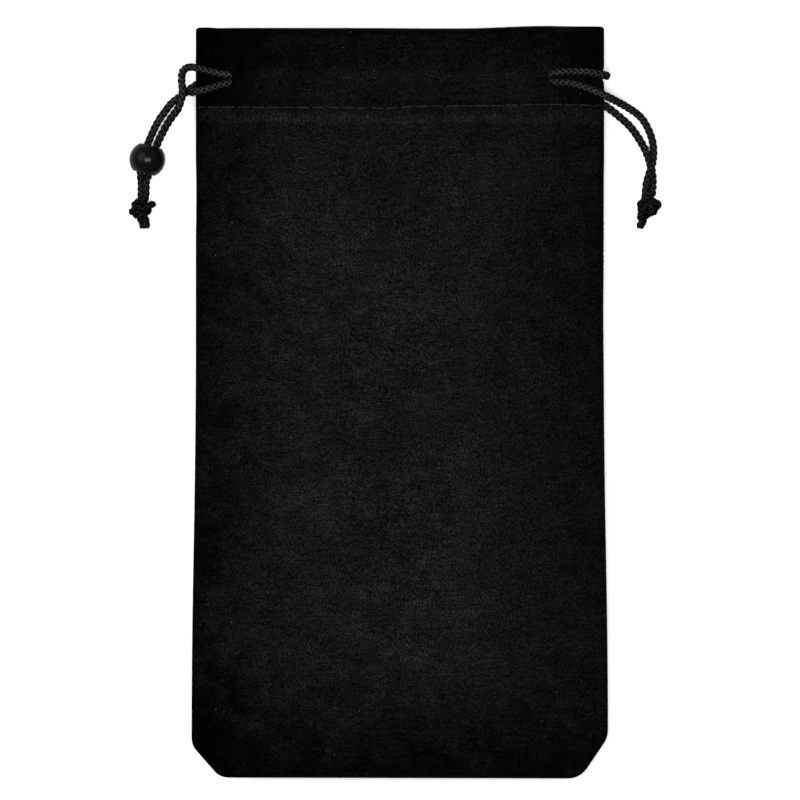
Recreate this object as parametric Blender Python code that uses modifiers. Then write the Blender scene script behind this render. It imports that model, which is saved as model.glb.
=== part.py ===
"""Soft drawstring pouch for a pair of glasses, lying empty on its back.

Metres, +Z up. The mouth points along +Y, the width runs along X, and Z = 0 is the surface it lies on.
Two cloth panels are sewn together down the sides and across the foot. Each panel's top edge is turned
in and stitched down, which leaves a channel. Two cords run through both channels and are knotted at
opposite sides, so that pulling them apart draws the mouth together.
"""

import math

import bmesh
import bpy
import numpy as np
from mathutils import Matrix

MM = 0.001

# Driving dimensions
POUCH_LENGTH = 181 * MM
TOP_HALF_WIDTH = 49.3 * MM
FOOT_HALF_WIDTH = 50.2 * MM
FOOT_CORNER = 9.7 * MM
FOOT_CORNER_POWER = 1.57
MIDDLE_HEIGHT = 6.2 * MM
FRONT_CROWN = 7.0 * MM
CLOTH = 0.6 * MM
SEAM_HALF_GAP = 0.25 * MM
LAYER_GAP = 0.3 * MM
CHANNEL_DEPTH = 2.2 * MM
HEM_STITCH_DEPTH = 19 * MM
HEM_EDGE_DEPTH = 23 * MM
CORD_DIAMETER = 1.85 * MM
CORD_LEVEL = 4.3 * MM
BEAD_DIAMETER = 8.65 * MM
BEAD_HOLE_DIAMETER = 4.7 * MM
THREAD_DIAMETER = 0.3 * MM

TOP = POUCH_LENGTH / 2
FOOT = -POUCH_LENGTH / 2
CORD_RADIUS = CORD_DIAMETER / 2
THREAD_RADIUS = THREAD_DIAMETER / 2
FRONT_CORD_Z = MIDDLE_HEIGHT + CORD_LEVEL
BACK_CORD_Z = MIDDLE_HEIGHT - CORD_LEVEL

# Where each cord runs in the channels, and where the holes let it out
LEFT_ROW = TOP - 10.9 * MM
RIGHT_ROW = TOP - 13.05 * MM
LEFT_ROW_DROP = 0.43 * MM
RIGHT_ROW_DROP = 0.15 * MM
HOLE_X = {-1: -40.3 * MM, 1: 35.6 * MM}
HOLE_LENGTH = 4.9 * MM
HOLE_WIDTH = 5.4 * MM
SHOULDER_INSET = 1.1 * MM
SHOULDER_RUN = 8.5 * MM

# The left cord's two ends lie side by side on one arc, and the bead slides along it
ARC_CENTRE = (-25.4 * MM, 49.5 * MM)
ARC_RADIUS = 37 * MM
PAIR_OFFSET = 1.0 * MM
PAIR_Z = 4.35 * MM
BEAD_ANGLE = math.radians(14.7)

CLOTH_COLOUR = (0.010, 0.010, 0.011)
CORD_COLOUR = (0.013, 0.013, 0.014)
THREAD_COLOUR = (0.030, 0.030, 0.032)
BEAD_COLOUR = (0.012, 0.012, 0.013)


# ---------------------------------------------------------------- scene and small helpers


def clear_scene():
    for obj in list(bpy.data.objects):
        bpy.data.objects.remove(obj, do_unlink=True)


def new_collection(name):
    collection = bpy.data.collections.new(name)
    bpy.context.scene.collection.children.link(collection)
    return collection


def principled(name, colour, roughness):
    material = bpy.data.materials.new(name)
    material.use_nodes = True
    shader = material.node_tree.nodes["Principled BSDF"]
    shader.inputs["Base Color"].default_value = (*colour, 1)
    shader.inputs["Roughness"].default_value = roughness
    shader.inputs["Metallic"].default_value = 0.0
    material.diffuse_color = (*colour, 1)
    return material


def add_object(name, data, collection, material=None):
    obj = bpy.data.objects.new(name, data)
    collection.objects.link(obj)
    if material is not None:
        data.materials.append(material)
    return obj


def smooth(value):
    """0 below 0, 1 above 1, and a smooth step between."""
    value = min(1.0, max(0.0, value))
    return value * value * (3 - 2 * value)


def mix(first, second, share):
    return first + (second - first) * share


# ---------------------------------------------------------------- the shape of the cloth


def half_width(side, y):
    """The outline: the pouch widens a little towards its foot, and its foot corners are rounded."""
    width = mix(TOP_HALF_WIDTH, FOOT_HALF_WIDTH, smooth((15 * MM - y) / (95 * MM)))
    if side > 0:
        # The left cord, drawn tight round this edge, presses it in.
        width -= 0.9 * MM * math.exp(-(((TOP - y - 11.4 * MM) / (2.2 * MM)) ** 2))
    into_corner = min(1.0, max(0.0, (FOOT + FOOT_CORNER - y) / FOOT_CORNER))
    remaining = (1 - into_corner**FOOT_CORNER_POWER) ** (1 / FOOT_CORNER_POWER)
    return width - FOOT_CORNER * (1 - remaining)


def shoulder(side, x):
    """1 over the middle of the hem, falling to 0 from just inside each hole towards the side seam."""
    start = abs(HOLE_X[side]) - SHOULDER_INSET
    return 1 - smooth((abs(x) - start) / SHOULDER_RUN)


def edge_half(depth):
    """Half the pouch's thickness at its side seam: four layers in the hem, two below it."""
    two_layers = SEAM_HALF_GAP + CLOTH
    hem_extra = LAYER_GAP + CLOTH
    return two_layers + hem_extra * (1 - smooth((depth - HEM_EDGE_DEPTH) / (8 * MM)))


def crown(face, depth):
    """How far the cloth's outer side stands from the middle plane along the centre line."""
    pinch = 1.1 * MM * math.exp(-(((depth - HEM_STITCH_DEPTH) / (2.2 * MM)) ** 2))
    belly = FRONT_CROWN - MIDDLE_HEIGHT if face > 0 else 0.0
    return MIDDLE_HEIGHT - pinch + belly * smooth((depth - 26 * MM) / (45 * MM))


def foot_fall(face, y):
    """1 over most of the length, falling to 0 at the foot seam."""
    if face > 0:
        share = min(1.0, max(0.0, (-30 * MM - y) / (-30 * MM - FOOT)))
        return (1 - share**3) ** 0.75
    return 1 - smooth((-66 * MM - y) / (-66 * MM - FOOT))


def side_fall(face, share):
    """1 along the centre line, falling to 0 at the side seam, below the hem."""
    if face > 0:
        return max(0.0, 1 - share**2.6) ** 0.75
    return 1 - smooth((share - 0.66) / 0.34)


def outer_half(face, side, x, y):
    """Height of the cloth's outer side above (front) or below (back) the middle plane."""
    depth = TOP - y
    share = min(1.0, abs(x) / half_width(side, y))
    across = mix(shoulder(side, x), side_fall(face, share), smooth((depth - 21 * MM) / (24 * MM)))
    edge = edge_half(depth)
    return edge + (crown(face, depth) - edge) * across * foot_fall(face, y)


def hem_stack(side, x, depth):
    """From the outer side of the cloth to the mouth side of the turned-in layer."""
    pocket = 1 - smooth((depth - 15.5 * MM) / (HEM_STITCH_DEPTH - 15.5 * MM))
    return 2 * CLOTH + LAYER_GAP + CHANNEL_DEPTH * pocket * shoulder(side, x)


def cloth_rows():
    """The rows of the cloth from the foot seam up the outside, over the top fold and down the inside."""
    corner_turns = np.linspace(0, math.pi / 2, 6)
    corner = [FOOT + FOOT_CORNER * (1 - math.sin(t) ** (2 / FOOT_CORNER_POWER)) for t in corner_turns]
    rows = [("outer", y) for y in reversed(corner)]
    rows += [("outer", y) for y in np.linspace(corner[0], TOP - 34 * MM, 8)[1:]]
    rows += [("outer", TOP - depth * MM) for depth in (28, 24, 21.2, 19.9, 19, 18.1, 16, 13.4, 11.4, 9.4, 7, 4)]
    rows += [("fold", turn) for turn in np.linspace(0, math.pi, 7)]
    rows += [("facing", TOP - depth * MM) for depth in (4, 7, 9.4, 11.4, 13.4, 16, 18.1, 19, 19.9, 23)]
    return rows


def cloth_columns():
    """Shares of the half width, from the left seam to the right: closer together over each shoulder."""
    columns = [0.0]
    for side in (-1, 1):
        start = abs(HOLE_X[side]) - SHOULDER_INSET
        middle = [start * part for part in (0.3, 0.6, 0.85)]
        falling = [start + step * MM for step in (0, 1.1, 2.6, 4.1, 5.3, 7.0)]
        outside = np.linspace(start + SHOULDER_RUN, TOP_HALF_WIDTH, 3 if side < 0 else 4)
        columns += [side * x / TOP_HALF_WIDTH for x in (*middle, *falling, *outside)]
    return sorted(columns)


def cloth_point(face, column, row):
    """Where one point of the cloth's outer side lies."""
    kind, value = row
    side = -1 if column < 0 else 1
    y = TOP if kind == "fold" else value
    x = column * half_width(side, y)
    if kind == "outer":
        height = outer_half(face, side, x, y)
    elif kind == "facing":
        height = outer_half(face, side, x, y) - hem_stack(side, x, TOP - y)
    else:
        radius = hem_stack(side, x, 0) / 2
        y = TOP - radius + radius * math.sin(value)
        height = outer_half(face, side, x, y) - radius + radius * math.cos(value)
    return (x, y, MIDDLE_HEIGHT + face * height)


def make_panel(name, face, collection, cutters, material):
    """One panel: a grid laid along its shape, given the cloth's thickness, with its two cord holes cut."""
    rows = cloth_rows()
    columns = cloth_columns()
    mesh = bpy.data.meshes.new(name)
    bm = bmesh.new()
    bmesh.ops.create_grid(bm, x_segments=len(columns) - 1, y_segments=len(rows) - 1, size=1)
    for vert in bm.verts:
        column = columns[round((vert.co.x + 1) / 2 * (len(columns) - 1))]
        row = rows[round((vert.co.y + 1) / 2 * (len(rows) - 1))]
        vert.co = cloth_point(face, column, row)
    if face < 0:
        bmesh.ops.reverse_faces(bm, faces=bm.faces)
    bm.to_mesh(mesh)
    bm.free()
    panel = add_object(name, mesh, collection, material)
    thickness = panel.modifiers.new("cloth", "SOLIDIFY")
    thickness.thickness = CLOTH
    thickness.offset = -1
    for side in (-1, 1):
        cutter = make_hole_cutter(face, side, cutters)
        cut = panel.modifiers.new(cutter.name, "BOOLEAN")
        cut.operation = "DIFFERENCE"
        cut.solver = "EXACT"
        cut.object = cutter
    mesh.shade_smooth()
    return panel


def make_hole_cutter(face, side, cutters):
    """A block with rounded corners, tilted along the shoulder so that it cuts the outer layer only."""
    name = f"{'front' if face > 0 else 'back'}_{'left' if side < 0 else 'right'}_hole_cutter"
    tilt = math.radians(27)
    height = 5 * MM
    mesh = bpy.data.meshes.new(name)
    bm = bmesh.new()
    bmesh.ops.create_cube(bm, size=1)
    bmesh.ops.scale(bm, vec=(HOLE_LENGTH / math.cos(tilt), HOLE_WIDTH, height), verts=bm.verts)
    upright = [e for e in bm.edges if abs(e.verts[0].co.z - e.verts[1].co.z) > height / 2]
    bmesh.ops.bevel(bm, geom=upright, offset=1.2 * MM, segments=3, affect="EDGES", profile=0.5)
    bm.to_mesh(mesh)
    bm.free()
    cutter = add_object(name, mesh, cutters)
    # The tilted block reaches 0.7 mm further in at its foot, so that its wall meets the cloth at HOLE_X.
    middle_x = HOLE_X[side] + side * (HOLE_LENGTH / 2 - 0.7 * MM)
    # The cut starts between the two layers, 3.2 mm above the middle plane halfway along the hole.
    lift = height / 2
    cutter.location = (
        middle_x + side * math.sin(tilt) * lift,
        (LEFT_ROW + RIGHT_ROW) / 2,
        MIDDLE_HEIGHT + face * (3.2 * MM + math.cos(tilt) * lift),
    )
    cutter.rotation_euler = (0, face * side * tilt, 0)
    cutter.hide_render = True
    cutter.display_type = "WIRE"
    return cutter


# ---------------------------------------------------------------- cords


def on_arc(radius, degrees, z):
    """A point of the arc that the left cord's ends follow, counted from the arc's lowest point."""
    turn = math.radians(degrees)
    return (
        ARC_CENTRE[0] / MM - radius / MM * math.cos(turn),
        ARC_CENTRE[1] / MM + radius / MM * math.sin(turn),
        z,
    )


def mirrored_z(points):
    return [(x, y, 2 * MIDDLE_HEIGHT / MM - z) for x, y, z in points]


def straight(row, low, z):
    """The run of a cord inside a channel, from just inside the left hole to just inside the right one.

    The run lies low by that much at the left hole, and is back in its row before the middle.
    """
    run = {-40.3: 1, -36: 0.83, -31: 0.66, 27: 0, 31: 0, 35.6: 0}
    return [(x, (row - low * share) / MM, z / MM) for x, share in run.items()]


def left_cord_route():
    """Millimetres, from the knot up the front strand, round the right side and back to the knot."""
    inner = ARC_RADIUS - PAIR_OFFSET
    outer = ARC_RADIUS + PAIR_OFFSET
    pair_z = PAIR_Z / MM
    # Between the bead and the knot the two ends lie closer together, one above the other, and hang straight.
    closer = 0.42 * MM
    higher = 0.75
    inwards = {0: 0.35, 3: 0.28, 6: 0.12}
    near_knot = [(degrees, share * MM) for degrees, share in inwards.items()]
    front_end = [on_arc(inner + closer - moved, degrees, pair_z + higher) for degrees, moved in near_knot]
    front_end += [on_arc(inner, degrees, pair_z) for degrees in (9, 12, 16)]
    apart = {20: 0.1, 24: 0.17, 28: 0.2, 32: 0.22, 35: 0.32}
    front_end += [on_arc(inner - share * MM, degrees, pair_z) for degrees, share in apart.items()]
    front_end += [on_arc(inner - 0.3 * MM, 37.5, 4.7)]
    front_end += [(-52.65, 75.2, 4.95), (-52.85, 78.0, 5.3), (-52.6, 80.0, 6.4), (-51.4, 81.05, 7.9)]
    front_end += [(-49.4, 80.95, 9.4), (-47.0, 80.3, 10.2), (-43.6, 79.55, 10.5)]
    bight = [(38.5, 79.8, 10.55), (41.5, 80.0, 10.4), (45.4, 79.9, 10.05), (48.0, 79.5, 9.6)]
    tip = [(49.7, 79.2, 8.15), (49.95, 79.1, 6.2)]
    back_bight = mirrored_z([tip[0], *reversed(bight)])
    back_end = [(-43.2, 79.35, 1.6), (-46.0, 78.9, 1.15), (-48.8, 77.5, 1.0), (-51.2, 75.8, 1.15)]
    back_end += [(-53.15, 74.3, 2.0), on_arc(outer - 0.2 * MM, 37.5, 3.5), on_arc(outer - 0.15 * MM, 34, 4.2)]
    back_end += [on_arc(outer, degrees, pair_z) for degrees in range(30, 9, -4)]
    near_knot.reverse()
    back_end += [on_arc(outer - closer - moved, degrees, pair_z - higher) for degrees, moved in near_knot]
    front = straight(LEFT_ROW, LEFT_ROW_DROP, FRONT_CORD_Z)
    back = list(reversed(straight(LEFT_ROW, LEFT_ROW_DROP, BACK_CORD_Z)))
    return front_end + front + bight + tip + back_bight + back + back_end


def right_cord_route():
    """Millimetres, from the knot up the front strand, round the left side and back to the knot."""
    front_end = [(59.25, 49.9, 3.9), (59.6, 52.6, 3.95), (60.2, 54.9, 3.75), (61.0, 57.3, 3.05)]
    front_end += [(61.45, 60.2, 1.75), (61.25, 63.25, 1.05), (60.1, 66.5, 1.2), (58.4, 69.1, 2.2)]
    front_end += [(55.6, 71.15, 4.2), (52.3, 72.9, 6.7), (48.9, 74.5, 9.3), (44.8, 76.2, 10.0), (41.0, 77.2, 10.4)]
    bight = [(-42.8, 76.85, 10.5), (-45.4, 76.15, 10.3), (-48.2, 75.4, 9.7), (-50.1, 75.2, 8.5)]
    tip = [(-50.55, 75.25, 6.2)]
    back_bight = mirrored_z(reversed(bight))
    back_end = [(39.2, 77.0, 1.5), (43.0, 75.7, 1.1), (46.4, 74.0, 1.0), (49.6, 72.1, 1.0), (52.9, 69.6, 1.0)]
    back_end += [(56.0, 66.7, 1.0), (58.2, 63.55, 1.0), (59.85, 60.4, 1.0), (60.85, 57.1, 1.0)]
    back_end += [(61.3, 54.0, 1.4), (60.85, 50.0, 2.3)]
    front = list(reversed(straight(RIGHT_ROW, RIGHT_ROW_DROP, FRONT_CORD_Z)))
    back = straight(RIGHT_ROW, RIGHT_ROW_DROP, BACK_CORD_Z)
    return front_end + front + bight + tip + back_bight + back + back_end


def smooth_route(points, step=2.3):
    """Points a few millimetres apart on a smooth curve through the route's own points.

    Straight stretches keep only their ends. Input in millimetres, output in metres.
    """
    route = [np.array(p, float) for p in points]
    route = [2 * route[0] - route[1], *route, 2 * route[-1] - route[-2]]
    found = [route[1]]
    for before, start, end, after in zip(route, route[1:], route[2:], route[3:]):
        length = np.linalg.norm(end - start)
        if length > 20:
            found.append(end)
            continue
        gaps = [np.linalg.norm(b - a) ** 0.5 for a, b in ((before, start), (start, end), (end, after))]
        knots = np.concatenate([[0], np.cumsum(gaps)])
        count = max(1, round(length / step))
        for share in np.arange(1, count + 1) / count:
            found.append(catmull_rom((before, start, end, after), knots, share))
    return [tuple(p * MM) for p in found]


def catmull_rom(points, knots, share):
    """The centripetal Catmull-Rom curve between the second and third of four points."""
    at = mix(knots[1], knots[2], share)
    level = list(points)
    spans = [[(i, i + 1) for i in range(3)], [(0, 2), (1, 3)], [(1, 2)]]
    for pairs in spans:
        level = [
            level[i] * ((knots[high] - at) / (knots[high] - knots[low]))
            + level[i + 1] * ((at - knots[low]) / (knots[high] - knots[low]))
            for i, (low, high) in enumerate(pairs)
        ]
    return level[0]


def make_tube(name, points, radius, sides_level, collection, material):
    """A round tube along the points, with closed ends."""
    curve = bpy.data.curves.new(name, "CURVE")
    curve.dimensions = "3D"
    curve.bevel_depth = radius
    curve.bevel_resolution = sides_level
    curve.use_fill_caps = True
    spline = curve.splines.new("POLY")
    spline.points.add(len(points) - 1)
    for place, point in zip(spline.points, points):
        place.co = (*point, 1)
    return add_object(name, curve, collection, material)


def make_cord(name, points_mm, collection, material):
    make_tube(name, smooth_route(points_mm), CORD_RADIUS, 2, collection, material)


def make_knot(name, centre_mm, sizes_mm, turn_degrees, collection, material):
    """The outer shape of an overhand knot tied in both ends of a cord."""
    mesh = bpy.data.meshes.new(name)
    bm = bmesh.new()
    bmesh.ops.create_uvsphere(bm, u_segments=16, v_segments=10, radius=0.5)
    bmesh.ops.scale(bm, vec=[s * MM for s in sizes_mm], verts=bm.verts)
    bmesh.ops.rotate(bm, matrix=Matrix.Rotation(math.radians(turn_degrees), 3, "Z"), verts=bm.verts)
    bm.to_mesh(mesh)
    bm.free()
    mesh.shade_smooth()
    knot = add_object(name, mesh, collection, material)
    knot.location = [c * MM for c in centre_mm]


def make_cord_ends(collection, material):
    """The four short tails beyond the knots."""
    tails = {
        "left_front_tail": ((-61.5, 44.3, 3.95), (-61.45, 42.3, 3.8)),
        "left_back_tail": ((-62.45, 44.3, 1.95), (-62.45, 42.3, 1.75)),
        "right_front_tail": ((58.5, 44.1, 3.95), (58.1, 42.3, 3.8)),
        "right_back_tail": ((58.6, 44.1, 1.7), (58.2, 42.3, 1.5)),
    }
    for name, ends_mm in tails.items():
        points = [tuple(c * MM for c in end) for end in ends_mm]
        make_tube(name, points, CORD_RADIUS, 2, collection, material)


def make_bead(collection, material):
    """A ball with a straight hole, turned about its axis and laid along the arc. Its origin is the arc's centre."""
    radius = BEAD_DIAMETER / 2
    hole = BEAD_HOLE_DIAMETER / 2
    start = math.asin(hole / radius)
    turns = np.linspace(start, math.pi - start, 15)
    mesh = bpy.data.meshes.new("cord_bead")
    bm = bmesh.new()
    verts = [bm.verts.new((radius * math.sin(t), 0, radius * math.cos(t))) for t in turns]
    for first, second in zip(verts, verts[1:] + verts[:1]):
        bm.edges.new((first, second))
    bmesh.ops.spin(
        bm,
        geom=bm.verts[:] + bm.edges[:],
        cent=(0, 0, 0),
        axis=(0, 0, 1),
        angle=2 * math.pi,
        steps=24,
        use_merge=True,
    )
    bmesh.ops.remove_doubles(bm, verts=bm.verts, dist=0.00001)
    bmesh.ops.recalc_face_normals(bm, faces=bm.faces)
    # The hole's axis turns from Z onto Y, then onto the arc's direction at the bead.
    bmesh.ops.rotate(bm, matrix=Matrix.Rotation(math.radians(90), 3, "X"), verts=bm.verts)
    bmesh.ops.rotate(bm, matrix=Matrix.Rotation(-BEAD_ANGLE, 3, "Z"), verts=bm.verts)
    offset = (-ARC_RADIUS * math.cos(BEAD_ANGLE), ARC_RADIUS * math.sin(BEAD_ANGLE), 0)
    bmesh.ops.translate(bm, vec=offset, verts=bm.verts)
    bm.to_mesh(mesh)
    bm.free()
    mesh.shade_smooth()
    mesh.set_sharp_from_angle(angle=math.radians(50))
    bead = add_object("cord_bead", mesh, collection, material)
    bead.location = (*ARC_CENTRE, PAIR_Z)


# ---------------------------------------------------------------- sewing threads


def hem_line(face, depth, lift, on_facing):
    """Points across one panel at a given depth below the top, a little off the cloth.

    Inside the mouth the line stops before the two panels come together at the side seams.
    """
    points = []
    for column in cloth_columns():
        side = -1 if column < 0 else 1
        y = TOP - depth
        x, _, z = cloth_point(face, column, ("facing" if on_facing else "outer", y))
        reach = abs(HOLE_X[side]) + 6.2 * MM if on_facing else TOP_HALF_WIDTH - 0.3 * MM
        if abs(x) < reach:
            points.append((x, y, z + face * lift))
    return points


def make_hem_threads(collection, material):
    """Each hem's stitching: the needle thread outside, the bobbin thread inside, and the edge's overlocking."""
    lift = THREAD_RADIUS + 0.1 * MM
    for face, panel in ((1, "front"), (-1, "back")):
        needle = hem_line(face, HEM_STITCH_DEPTH, lift if face > 0 else -THREAD_RADIUS, on_facing=False)
        if face < 0:
            # On the back the thread lies in the stitched groove, clear of the surface below.
            needle = [(x, y, z - lift - THREAD_RADIUS) for x, y, z in needle]
        bobbin = hem_line(face, HEM_STITCH_DEPTH, -lift, on_facing=True)
        edge = hem_line(face, HEM_EDGE_DEPTH, CLOTH / 2, on_facing=True)
        overlock = [(x, y - 0.45 * MM, z) for x, y, z in edge]
        make_tube(f"{panel}_hem_needle_thread", needle, THREAD_RADIUS, 0, collection, material)
        make_tube(f"{panel}_hem_bobbin_thread", bobbin, THREAD_RADIUS, 0, collection, material)
        make_tube(f"{panel}_hem_overlock", overlock, 0.25 * MM, 0, collection, material)


def make_seam_thread(collection, material):
    """The stitching that joins the panels, down one side, round the foot and up the other."""
    inset = 1.4 * MM
    turns = np.linspace(0, math.pi / 2, 7)
    sides = [TOP - depth * MM for depth in (2.5, 8, 11.4, 15, 25, 50, 80, 110, 140, 160)]
    corner = [FOOT + FOOT_CORNER * (1 - math.sin(t) ** (2 / FOOT_CORNER_POWER)) for t in turns]
    right = [(half_width(1, y) - inset, y, MIDDLE_HEIGHT) for y in sides + corner[:-1]]
    right = [(x, max(y, FOOT + inset), z) for x, y, z in right]
    last_x = half_width(1, FOOT) - inset
    foot = [(last_x, FOOT + inset, MIDDLE_HEIGHT), (0, FOOT + inset, MIDDLE_HEIGHT)]
    half = [p for p in right if p[0] > last_x + 0.5 * MM] + foot
    half = [p for i, p in enumerate(half) if i == 0 or math.dist(p, half[i - 1]) > 0.8 * MM]
    left = [(-x, y, z) for x, y, z in reversed(half[:-1])]
    make_tube("seam_thread", half + left, THREAD_RADIUS, 0, collection, material)


def main():
    clear_scene()
    parts = new_collection("drawstring_glasses_pouch")
    cutters = new_collection("cutters")
    cloth = principled("cloth", CLOTH_COLOUR, 0.95)
    cord = principled("cord", CORD_COLOUR, 0.75)
    thread = principled("thread", THREAD_COLOUR, 0.6)
    bead = principled("bead", BEAD_COLOUR, 0.18)
    make_panel("front_panel", 1, parts, cutters, cloth)
    make_panel("back_panel", -1, parts, cutters, cloth)
    make_cord("left_drawcord", left_cord_route(), parts, cord)
    make_cord("right_drawcord", right_cord_route(), parts, cord)
    make_knot("left_knot", (-62.3, 47.0, 2.95), (6.3, 4.7, 5.8), 0, parts, cord)
    make_knot("right_knot", (59.8, 47.0, 2.95), (6.5, 4.8, 5.8), 25, parts, cord)
    make_cord_ends(parts, cord)
    make_bead(parts, bead)
    make_hem_threads(parts, thread)
    make_seam_thread(parts, thread)


main()
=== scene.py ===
"""Looks of a soft drawstring pouch for glasses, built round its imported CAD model.

Metres, in the CAD model's frame: the mouth points along +Y, and Z = 0 is the surface under the pouch.
"""

import math

import bmesh
import bpy
import numpy as np
from mathutils import Matrix, Vector


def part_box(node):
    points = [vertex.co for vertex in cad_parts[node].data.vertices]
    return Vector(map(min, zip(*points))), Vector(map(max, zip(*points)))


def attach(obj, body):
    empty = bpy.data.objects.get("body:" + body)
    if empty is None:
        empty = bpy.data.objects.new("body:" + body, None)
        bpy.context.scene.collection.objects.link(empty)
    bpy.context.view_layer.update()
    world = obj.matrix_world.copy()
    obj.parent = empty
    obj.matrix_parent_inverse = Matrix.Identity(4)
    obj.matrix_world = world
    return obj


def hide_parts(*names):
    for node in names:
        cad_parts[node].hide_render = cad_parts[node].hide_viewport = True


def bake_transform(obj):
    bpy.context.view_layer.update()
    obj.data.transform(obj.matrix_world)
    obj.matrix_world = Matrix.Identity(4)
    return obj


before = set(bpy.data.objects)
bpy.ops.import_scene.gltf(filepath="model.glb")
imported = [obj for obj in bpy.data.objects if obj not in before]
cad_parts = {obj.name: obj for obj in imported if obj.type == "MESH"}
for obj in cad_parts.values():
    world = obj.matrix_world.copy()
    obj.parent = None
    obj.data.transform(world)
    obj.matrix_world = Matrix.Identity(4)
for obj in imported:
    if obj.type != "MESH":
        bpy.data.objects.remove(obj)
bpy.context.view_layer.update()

MM = 0.001

# ---------------------------------------------------------------- sizes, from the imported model

FRONT_LOW, FRONT_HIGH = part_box("front_panel")
BACK_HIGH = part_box("back_panel")[1]
TOP = FRONT_HIGH.y
FOOT = FRONT_LOW.y
MIDDLE = (FRONT_LOW.z + BACK_HIGH.z) / 2
FRONT_CROWN = FRONT_HIGH.z - MIDDLE
FOOT_HALF = FRONT_HIGH.x
TOP_HALF = FOOT_HALF - 0.9 * MM
CORNER = 9.7 * MM
# Each foot corner is cut off at a slant: how far up the side and along the foot, and how far either end of
# the cut is rounded.
CORNER_CUTS = {-1: (7.7 * MM, 6.9 * MM, 1.7 * MM, 2.1 * MM), 1: (9.6 * MM, 6.8 * MM, 1.7 * MM, 3.0 * MM)}
CLOTH = 0.6 * MM
LAYER_GAP = 0.3 * MM
CHANNEL_DEPTH = 2.2 * MM
THREAD_LOW, THREAD_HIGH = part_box("front_hem_needle_thread")
STITCH_DEPTH = TOP - (THREAD_LOW.y + THREAD_HIGH.y) / 2
# The line of stitching that shows: its lift above the nominal one, its slope, its sag and where that is.
STITCH_LIFT = 0.18 * MM
STITCH_SLOPE = 0.006
STITCH_SAG = 0.55 * MM
STITCH_SAG_X = -10 * MM
BAND_DEPTH = STITCH_DEPTH + 4 * MM
LEFT_ROW = TOP - 10.9 * MM
RIGHT_ROW = TOP - 13.05 * MM
LEFT_ROW_DROP = 0.43
RIGHT_ROW_DROP = 0.15
HOLE_X = {-1: -40.3 * MM, 1: 35.6 * MM}
SHOULDER_INSET = 1.1 * MM
SHOULDER_RUN = 9.8 * MM
EDGE_ROLL = 1.3 * MM
SEAM_GAP = 0.02 * MM
NEEDLE_PITCH = 3.6 * MM
ARC_CENTRE = (-25.4, 49.5)
ARC_RADIUS = 37.0
PAIR_OFFSET = 1.0
PAIR_Z = 4.35
BEAD_ANGLE = math.radians(14.7)
BEAD_RADIUS = 4.34 * MM
BEAD_HOLE_RADIUS = 2.35 * MM
BEAD_LIP = 0.35 * MM
VIEW_HEIGHT = (TOP - FOOT) * 193.5 / 181
VIEW_CENTRE_Y = 0.665 * MM

SIDES = {-1: "left", 1: "right"}
FACES = {1: "front", -1: "back"}


# ---------------------------------------------------------------- small helpers


def smooth(value):
    """0 below 0, 1 above 1, and a smooth step between."""
    value = np.clip(value, 0, 1)
    return value * value * (3 - 2 * value)


def mix(first, second, share):
    return first + (second - first) * share


def bell(offset, width):
    return np.exp(-((offset / width) ** 2))


def unit(vectors):
    return vectors / (np.linalg.norm(vectors, axis=-1, keepdims=True) + 1e-12)


def new_object(name, mesh, material=None):
    obj = bpy.data.objects.new(name, mesh)
    bpy.context.scene.collection.objects.link(obj)
    if material is not None:
        mesh.materials.clear()
        mesh.materials.append(material)
    return obj


def mesh_of(name, points, faces, strand_uv=None):
    mesh = bpy.data.meshes.new(name)
    mesh.from_pydata([tuple(p) for p in points], [], faces)
    mesh.update()
    mesh.shade_smooth()
    if strand_uv is not None:
        layer = mesh.uv_layers.new(name="strand")
        corners = np.zeros(len(mesh.loops), np.int32)
        mesh.loops.foreach_get("vertex_index", corners)
        layer.data.foreach_set("uv", np.asarray(strand_uv, np.float32)[corners].ravel())
    return mesh


def apply_modifiers(obj):
    """Replaces the object's mesh by what its modifiers make of it."""
    bpy.context.view_layer.update()
    graph = bpy.context.evaluated_depsgraph_get()
    mesh = bpy.data.meshes.new_from_object(obj.evaluated_get(graph))
    obj.modifiers.clear()
    obj.data = mesh
    return mesh


def distances(line):
    """How far along the line each of its points lies."""
    return np.concatenate([[0], np.cumsum(np.linalg.norm(np.diff(line, axis=0), axis=1))])


def evenly(line, count):
    """The same line as that many points, evenly spaced."""
    at = distances(line)
    want = np.linspace(0, at[-1], count)
    return np.stack([np.interp(want, at, line[:, k]) for k in range(3)], axis=1)


def resampled(points, step):
    """The same line as points about a step apart."""
    line = np.asarray(points, float)
    return evenly(line, max(2, round(distances(line)[-1] / step) + 1))


# ---------------------------------------------------------------- the cords' routes, repeated from part.py


def on_arc(radius, degrees, z):
    """A point of the arc that the left cord's ends follow, counted from the arc's lowest point."""
    turn = math.radians(degrees)
    return (ARC_CENTRE[0] - radius * math.cos(turn), ARC_CENTRE[1] + radius * math.sin(turn), z)


def mirrored_z(points):
    return [(x, y, 2 * MIDDLE / MM - z) for x, y, z in points]


FRONT_CORD_Z = MIDDLE / MM + 4.3
BACK_CORD_Z = MIDDLE / MM - 4.3
LEFT_ROW_MM = LEFT_ROW / MM
RIGHT_ROW_MM = RIGHT_ROW / MM
INNER = ARC_RADIUS - PAIR_OFFSET
OUTER = ARC_RADIUS + PAIR_OFFSET

# Millimetres. Near the knot the left cord's two ends come closer and turn one over the other, and towards
# the pouch they part. Both are by degrees along the arc.
CLOSER = 0.42
HIGHER = 0.75
NEAR_KNOT = {3: 0.28, 6: 0.12}
APART = {20: 0.1, 24: 0.17, 28: 0.2, 32: 0.22, 35: 0.32}

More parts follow.
